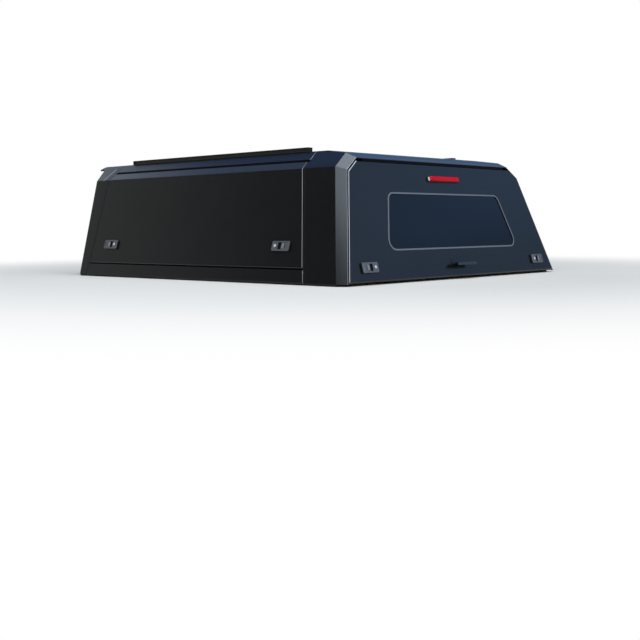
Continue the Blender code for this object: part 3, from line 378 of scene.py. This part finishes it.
ownFinishes = {
    "rear_door_skin": sheetCoats["rearDoor"],
    "roof_panel": sheetCoats["roof"],
    # the pull's face gets a painted sheen
    "rear_door_pull": powderCoat("pullCoat", coatLook, pullSheen=[outerPlane("rear_door_pull", rearTurn)]),
}
rearLatch = latchCasting("rearLatchCasting", latchLook, outerPlane("rear_door_left_latch", rearTurn))
sideLatch = latchCasting("sideLatchCasting", latchLook, outerPlane("left_door_rear_latch", lean))
sideFinishes = {
    "door_skin": sheetCoats["sideDoor"],
    "door_front_latch": sideLatch,
    "door_rear_latch": sideLatch,
    "rear_pillar": sheetCoats["rearPillar"],
    "front_pillar": sheetCoats["frontPillar"],
    "sill_panel": sheetCoats["sill"],
    "roof_rail": blackExtrusion("railExtrusion", railLook),
}
for side in ("left", "right"):
    ownFinishes[f"rear_door_{side}_latch"] = rearLatch
    for piece, finish in sideFinishes.items():
        ownFinishes[f"{side}_{piece}"] = finish

for subpart in frame["record"]["subparts"]:
    name = subpart["node"]
    materials = nodes[name].data.materials
    materials.clear()
    materials.append(ownFinishes.get(name, finishes[subpart["material_slot"]]))
print("finishes given to", len(nodes), "nodes")


# Soft edges on the frame's own pieces
edgeLook = {"merge": 0.00001, "smoothAngle": math.radians(34), "bevelAngle": math.radians(40), "segments": 2,
            "flatWeight": 100}
bevelWidths = {"latch": 0.0006, "paddle": 0.0005, "lens": 0.0008, "sill_panel": 0.0012, "rail": 0.0008,
               "trim": 0.0004, "pull": 0.0005, "pillar": 0.0005, "skin": 0.0005, "roof": 0.0005}


def smoothGroup(look):  # joins the split corners again and smooths all but the sharp edges
    group = bpy.data.node_groups.new("smoothCorners", "GeometryNodeTree")
    group.interface.new_socket("Geometry", in_out="INPUT", socket_type="NodeSocketGeometry")
    group.interface.new_socket("Geometry", in_out="OUTPUT", socket_type="NodeSocketGeometry")
    mesh = Wire(group).node("NodeGroupInput")
    mesh = mesh.node("GeometryNodeRemoveAttribute", None, {"Geometry": mesh, "Name": "custom_normal"})
    mesh = mesh.node("GeometryNodeMergeByDistance", None, {"Geometry": mesh, "Distance": look["merge"]})
    turn = mesh.node("GeometryNodeInputMeshEdgeAngle")
    blunt = turn.node("FunctionNodeCompare", {"operation": "LESS_THAN"}, {0: turn, 1: look["smoothAngle"]})
    for domain, smooth in (("FACE", True), ("EDGE", blunt)):
        mesh = mesh.node("GeometryNodeSetShadeSmooth", {"domain": domain},
                         {"Geometry": mesh, "Shade Smooth": smooth})
    mesh.node("NodeGroupOutput", None, {0: mesh})
    return group


def bevelWidth(name):
    for word, width in bevelWidths.items():
        if word in name:
            return width
    return 0.0


smoothCorners = smoothGroup(edgeLook)
for name, node in nodes.items():
    smoother = node.modifiers.new("smoothCorners", "NODES")
    smoother.node_group = smoothCorners
    width = bevelWidth(name)
    if width:
        bevel = node.modifiers.new("softEdge", "BEVEL")
        bevel.limit_method = "ANGLE"
        bevel.angle_limit = edgeLook["bevelAngle"]
        bevel.width = width
        bevel.segments = edgeLook["segments"]
        bevel.harden_normals = True
    flat = node.modifiers.new("flatFaces", "WEIGHTED_NORMAL")  # keeps wide faces flat beside their folds
    flat.keep_sharp = True
    flat.weight = edgeLook["flatWeight"]
print("soft edges on", sum(1 for name in nodes if bevelWidth(name)), "pieces")


# Small pieces on the latches
def panelAxes(name):  # along from a latch's outer end, across, and out from its door
    hand = -1 if "left" in name else 1
    if name.startswith("rear"):
        return Vector((-hand, 0.0, 0.0)), Vector((0.0, rearTurn.z, -rearTurn.y)), rearTurn
    along = Vector((0.0, 1.0 if "rear" in name else -1.0, 0.0))
    return along, Vector((-hand * lean.z, 0.0, lean.x)), Vector((hand * lean.x, 0.0, lean.z))


def panelReach(name, along, across, out):  # free end, lowest and highest side, and top of a latch piece
    points = [vertex.co for vertex in nodes[name].data.vertices]
    sides = [point.dot(across) for point in points]
    tip = max(point.dot(along) for point in points)
    top = max(point.dot(out) for point in points)
    return tip, min(sides), max(sides), top


def joinLoops(work, loops):  # walls from each loop of corners to the next
    for lower, upper in zip(loops, loops[1:]):
        for index in range(len(lower)):
            after = (index + 1) % len(lower)
            work.faces.new((lower[index], lower[after], upper[after], upper[index]))


def addPiece(name, work, finish, body):
    bmesh.ops.recalc_face_normals(work, faces=work.faces)
    mesh = bpy.data.meshes.new(name)
    work.to_mesh(mesh)
    work.free()
    mesh.materials.append(finish)
    piece = bpy.data.objects.new(name, mesh)
    bpy.context.scene.collection.objects.link(piece)
    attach(piece, body)


plugLook = {"radius": 0.0068, "rise": 0.0016, "edge": 0.0007, "slotLength": 0.0062, "slotWidth": 0.0013,
            "slotDepth": 0.0012, "fromEnd": 0.021, "steps": 28}


def addKeyPlug(name, body, look):  # a round lock plug with a key slot, on a latch
    along, across, out = panelAxes(name)
    tip, low, high, top = panelReach(name, along, across, out)
    key = along * (tip - look["fromEnd"]) + across * (low + high) / 2 + out * top
    work = bmesh.new()
    rings = [(look["radius"], 0.0), (look["radius"], look["rise"] - look["edge"]),
             (look["radius"] - look["edge"], look["rise"])]
    turns = [2 * math.pi * step / look["steps"] for step in range(look["steps"])]
    loops = []
    for radius, height in rings:
        centre = key + out * height
        loops.append([work.verts.new(centre + (along * math.cos(turn) + across * math.sin(turn)) * radius)
                      for turn in turns])
    joinLoops(work, loops)
    work.faces.new(loops[0][::-1])
    wide = along * (look["slotWidth"] / 2)
    long = across * (look["slotLength"] / 2)
    mouth = [work.verts.new(key + out * look["rise"] + wide * x + long * y)
             for x, y in ((-1, -1), (1, -1), (1, 1), (-1, 1))]
    floor = [work.verts.new(vertex.co - out * look["slotDepth"]) for vertex in mouth]
    rim = loops[-1]
    quarter = look["steps"] // 4
    for index in range(4):  # the top face, a quarter of its rim to each side of the slot
        first = (2 * index + 5) * quarter // 2
        arc = [rim[(first + step) % look["steps"]] for step in range(quarter + 1)]
        work.faces.new(arc + [mouth[(index + 1) % 4], mouth[index]])
    joinLoops(work, [mouth, floor])
    work.faces.new(floor)
    addPiece(name + "_key_plug", work, keyFinish, body)


gripLook = {
    "ribs": {"fromEnds": [0.0030, 0.0078, 0.0126], "width": 0.0024, "rise": 0.0009, "edge": 0.0005},
    # the black strip is painted shade, standing in for the shade of the finger dip
    "shadeStrip": {"fromEnds": [0.0186], "width": 0.0038, "rise": 0.0003, "edge": 0.0001},
    "margin": 0.004, "seat": 0.0002,
}


def addStrips(name, look, strips):  # low bars across a paddle, at distances from its free end
    along, across, out = panelAxes(name)
    tip, low, high, top = panelReach(name, along, across, out)
    rise, edge = strips["rise"], strips["edge"]
    work = bmesh.new()
    for fromEnd in strips["fromEnds"]:
        start = tip - fromEnd - strips["width"]
        loops = []
        for height, inset in ((-look["seat"], 0.0), (rise - edge, 0.0), (rise, edge)):
            left, right = start + inset, start + strips["width"] - inset
            bottom, summit = low + look["margin"] + inset, high - look["margin"] - inset
            loops.append([work.verts.new(along * x + across * y + out * (top + height))
                          for x, y in ((left, bottom), (right, bottom), (right, summit), (left, summit))])
        joinLoops(work, loops)
        work.faces.new(loops[0][::-1])
        work.faces.new(loops[-1])
    return work


def addGrip(name, look):  # raised ribs, and a black strip on a paddle that stands in for the shade of its finger dip
    ribs = addStrips(name, look, look["ribs"])
    addPiece(name + "_grip_ribs", ribs, ribFinish, name)
    shadeStrip = addStrips(name, look, look["shadeStrip"])
    addPiece(name + "_grip_shade_strip", shadeStrip, finishes["black_plastic"], name)


for name in sorted(nodes):
    if name.endswith("_latch"):
        door = "rear_door" if name.startswith("rear") else name.split("_")[0] + "_door"
        addKeyPlug(name, door, plugLook)
    if name.endswith("_paddle"):
        addGrip(name, gripLook)
print("lock plugs, grip ribs and painted shade strips added")


# Floor, light and camera
floorLook = {"half": 30.0, "drop": 0.0004, "colour": (0.95, 0.885, 0.785, 1.0), "roughness": 0.95,
             "fade": (1.4, 3.6)}


def addFloor(look):  # it fades to white away from the canopy, for the camera and in reflections
    half = look["half"]
    corners = [(-half, -half, 0), (half, -half, 0), (half, half, 0), (-half, half, 0)]
    mesh = bpy.data.meshes.new("floor")
    mesh.from_pydata(corners, [], [(0, 1, 2, 3)])
    floor = bpy.data.objects.new("floor", mesh)
    floor.location.z = -look["drop"]
    bpy.context.scene.collection.objects.link(floor)
    material, shader, place = startMaterial("paleFloor")
    plug(shader, {"Base Color": look["colour"], "Roughness": look["roughness"], "Specular IOR Level": 0.0})
    rays = place.node("ShaderNodeLightPath").outputs()
    watching = rays["Is Camera Ray"] + rays["Is Glossy Ray"] + rays["Is Transmission Ray"]
    far = place.vector("LENGTH", output="Value").step(*look["fade"])
    glow = place.node("ShaderNodeEmission", None, {"Color": grey(1.0), "Strength": 1.0})
    matt = Wire(place.tree, shader.outputs[0])
    surface = place.node("ShaderNodeMixShader", None, {0: watching.least(1.0) * far, 1: matt, 2: glow})
    plug(place.tree.nodes["Material Output"], {"Surface": surface})
    mesh.materials.append(material)


skyLook = {"low": grey(0.9), "dark": (0.044, 0.046, 0.045, 1.0), "navy": (0.075, 0.135, 0.33, 1.0),
           "glow": (0.69, 0.73, 0.71, 1.0), "glowMost": 0.50, "frontGlow": (0.86, 0.92, 0.95, 1.0),
           "rear": (0.92, 0.96, 1.02, 1.0), "top": (0.93, 1.06, 1.24, 1.0),
           "rightLow": (0.125, 0.225, 0.38, 1.0), "rightMiddle": (0.235, 0.435, 0.82, 1.0),
           "rightHigh": (0.06, 0.11, 0.24, 1.0), "rightCentre": (0.055, 0.065, 0.08, 1.0),
           "forwardShare": 0.3}
skySpans = {  # from where to where a tone comes in, along x, y or z of a direction
    "glow": (0.69, 0.9), "frontGlow": (0.742, 0.828), "navy": (-0.35, 0.2), "rear": (-0.05, 0.45),
    "rightMiddle": (0.22, 0.31), "rightHigh": (0.32, 0.6), "forward": (0.2, 0.4), "offCentre": (0.22, 0.40),
    "right": (0.0, 0.95), "top": (0.86, 0.97), "aboveLow": (0.04, 0.14), "horizon": (0.03, 0.09),
}


def addSky(look, spans):  # a dark and a blue side for the black panels to mirror, white at the horizon
    world = bpy.data.worlds.new("studio")
    bpy.context.scene.world = world
    world.use_nodes = True
    tree = world.node_tree
    place = Wire(tree).node("ShaderNodeTexCoord", output="Generated")
    x, y, z = place.parts()
    darkSide = y.step(*spans["glow"]).least(look["glowMost"]).blend(look["dark"], look["glow"])
    blueSide = y.step(*spans["frontGlow"]).blend(look["navy"], look["frontGlow"])
    front = x.step(*spans["navy"]).blend(darkSide, blueSide)
    left = (0.0 - y).step(*spans["rear"]).blend(front, look["rear"])
    right = z.step(*spans["rightMiddle"]).blend(look["rightLow"], look["rightMiddle"])
    right = z.step(*spans["rightHigh"]).blend(right, look["rightHigh"])
    right = (y.step(*spans["forward"]) * look["forwardShare"]).blend(right, look["rightHigh"])
    right = abs(y).step(*spans["offCentre"]).blend(look["rightCentre"], right)
    sides = x.step(*spans["right"]).blend(left, right)
    dome = z.step(*spans["top"]).blend(sides, look["top"])
    studio = z.step(*spans["aboveLow"]).blend(look["low"], dome)
    rays = place.node("ShaderNodeLightPath").outputs()
    white = rays["Is Camera Ray"] + rays["Is Transmission Ray"]
    near = rays["Is Glossy Ray"] * (1.0 - z.step(*spans["horizon"]))
    colour = (white + near).least(1.0).blend(studio, grey(1.0))
    plug(tree.nodes["Background"], {"Color": colour, "Strength": 1.0})


softboxes = {
    "keySoftbox": {"place": (-3.65, -1.3, 4.6), "target": (-0.7, -0.8, 0.3), "size": (2.6, 2.6),
                   "radiance": 4.0, "colour": (0.78, 0.90, 1.05)},
    "topSoftbox": {"place": (0.1, -0.4, 4.3), "target": (0.0, -0.4, 0.0), "size": (1.9, 1.9),
                   "radiance": 3.0, "colour": (0.80, 0.90, 1.02)},
}


def addSoftbox(name, look):
    lamp = bpy.data.lights.new(name, "AREA")
    lamp.shape = "RECTANGLE"
    lamp.size, lamp.size_y = look["size"]
    lamp.energy = look["radiance"] * math.pi * lamp.size * lamp.size_y
    lamp.color = look["colour"]
    holder = bpy.data.objects.new(name, lamp)
    bpy.context.scene.collection.objects.link(holder)
    holder.location = look["place"]
    aim = Vector(look["target"]) - Vector(look["place"])
    holder.rotation_euler = aim.to_track_quat("-Z", "Y").to_euler()
    holder.visible_camera = False


cameraLook = {"place": (-3.9689, -3.6174, 0.2454), "heading": -46.678, "tilt": -5.0455, "roll": -0.488,
              "sensor": 36.0, "lens": 57.689, "shift": (0.04275, -0.00497)}


def addCamera(look):  # tilt is measured from the level, heading from straight ahead
    camera = bpy.data.cameras.new("photoCamera")
    camera.sensor_width = look["sensor"]
    camera.lens = look["lens"]
    camera.shift_x, camera.shift_y = look["shift"]
    holder = bpy.data.objects.new("photoCamera", camera)
    bpy.context.scene.collection.objects.link(holder)
    turn = Matrix.Rotation(math.radians(look["heading"]), 4, "Z")
    turn = turn @ Matrix.Rotation(math.radians(90.0 + look["tilt"]), 4, "X")
    turn = turn @ Matrix.Rotation(math.radians(look["roll"]), 4, "Z")
    holder.matrix_world = Matrix.Translation(look["place"]) @ turn
    bpy.context.scene.camera = holder


addFloor(floorLook)
addSky(skyLook, skySpans)
for name, look in softboxes.items():
    addSoftbox(name, look)
addCamera(cameraLook)
bpy.context.scene.view_settings.view_transform = "Standard"
print("floor, light and camera ready")
